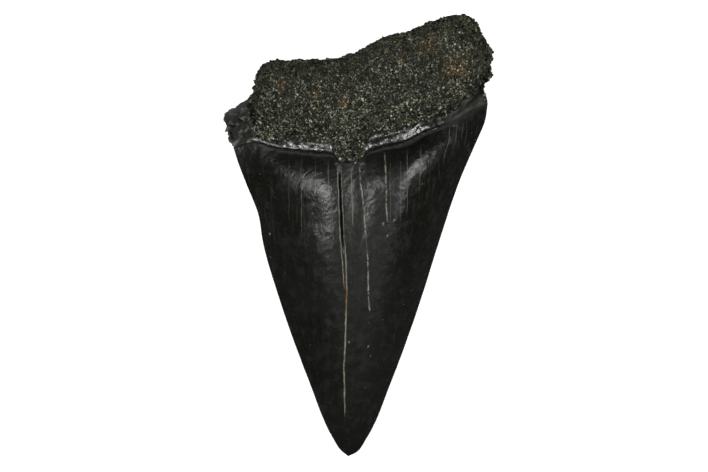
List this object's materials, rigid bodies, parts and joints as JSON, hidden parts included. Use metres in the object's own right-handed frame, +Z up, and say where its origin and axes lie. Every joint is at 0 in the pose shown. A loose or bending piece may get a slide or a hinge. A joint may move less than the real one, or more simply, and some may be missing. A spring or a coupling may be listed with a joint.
{
  "type": "fossil mako shark tooth",
  "caption": "Fossil mako shark tooth lying flat: a near black, glossy, cracked triangular blade under a thick, sandy, olive grey root.",
  "frame": {"origin": "on the surface the tooth lies on, under the centre of its bounding box", "axes": "+Y from the blade's tip to the root, +X to the right seen from the domed face, +Z up out of the domed face"},
  "size_m": [0.0335, 0.0551, 0.011],
  "materials": {
    "enamel": "near black and glossy, with hairline cracks filled with pale silt",
    "root": "matt, granular, dark olive grey with light grains and rusty specks"
  },
  "bodies": {
    "root": {"tooth": "enamel"}
  },
  "joints": []
}
